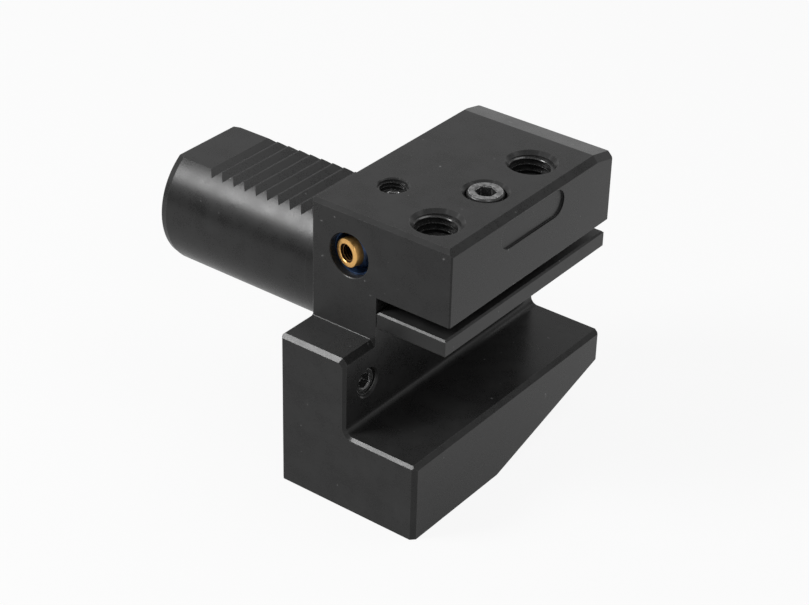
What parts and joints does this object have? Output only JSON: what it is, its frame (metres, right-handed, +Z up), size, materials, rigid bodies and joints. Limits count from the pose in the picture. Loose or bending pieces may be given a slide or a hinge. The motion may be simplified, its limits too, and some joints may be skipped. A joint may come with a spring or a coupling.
{
  "type": "vdi radial tool holder",
  "caption": "Radial turning tool holder with a toothed cylindrical shank, a square tool slot, a screw-clamped plate and a swivelling coolant nozzle.",
  "frame": {"origin": "on the shank's axis, in the plane of the flange face that seats on the turret", "axes": "-X along the shank, out of its free end; +X towards the tool slot; Y along the tool slot, with the nozzle's face towards -Y; +Z up, on the side of the clamp screws and of the shank's teeth"},
  "size_m": [0.107, 0.085, 0.0806],
  "materials": {
    "body_steel": "case-hardened steel, ground and black-oxidised, satin",
    "plate_steel": "black-oxidised flat steel",
    "screw_steel": "black-oxidised screw steel",
    "spring_steel": "drawn spring wire",
    "blued_steel": "blued steel, satin",
    "brass": "turned brass",
    "seal_rubber": "matte black nitrile rubber"
  },
  "bodies": {
    "holder": {"holder_body": "body_steel", "plate_lift_spring": "spring_steel", "channel_plug_top": "screw_steel", "channel_plug_wall": "screw_steel", "nozzle_ring": "blued_steel", "nozzle_seal": "seal_rubber", "shank_seal": "seal_rubber", "port_seal_upper": "seal_rubber", "port_seal_lower": "seal_rubber"},
    "clamp": {"clamping_plate": "plate_steel", "plate_retaining_screw": "screw_steel"},
    "front_screw": {"clamp_screw_front": "screw_steel"},
    "rear_screw": {"clamp_screw_rear": "screw_steel"},
    "nozzle": {"nozzle_ball": "blued_steel", "nozzle_tip": "brass"}
  },
  "joints": [
    {"name": "clamp_slide", "type": "slide", "parent": "holder", "child": "clamp", "axis": [0, 0, 1], "range_m": [-0.0035, 0.0038], "deforming": ["plate_lift_spring"]},
    {"name": "clamp_screw_front_turn", "type": "hinge", "parent": "clamp", "child": "front_screw", "pos_m": [0.032, -0.0199, 0.0066], "axis": [0, 0, 1], "range_deg": [-721, 782]},
    {"name": "clamp_screw_rear_turn", "type": "hinge", "parent": "clamp", "child": "rear_screw", "pos_m": [0.032, 0.0213, 0.0066], "axis": [0, 0, 1], "range_deg": [-721, 782]},
    {"name": "nozzle_swivel", "type": "hinge", "parent": "holder", "child": "nozzle", "pos_m": [0.012, -0.0233, 0.0198], "axis": [0, 0, 1], "range_deg": [-3, 27]}
  ],
  "couplings": [
    {"joint": "clamp_screw_front_turn", "follows": "clamp_slide", "rad_per_m": 3590.4},
    {"joint": "clamp_screw_rear_turn", "follows": "clamp_slide", "rad_per_m": 3590.4}
  ]
}
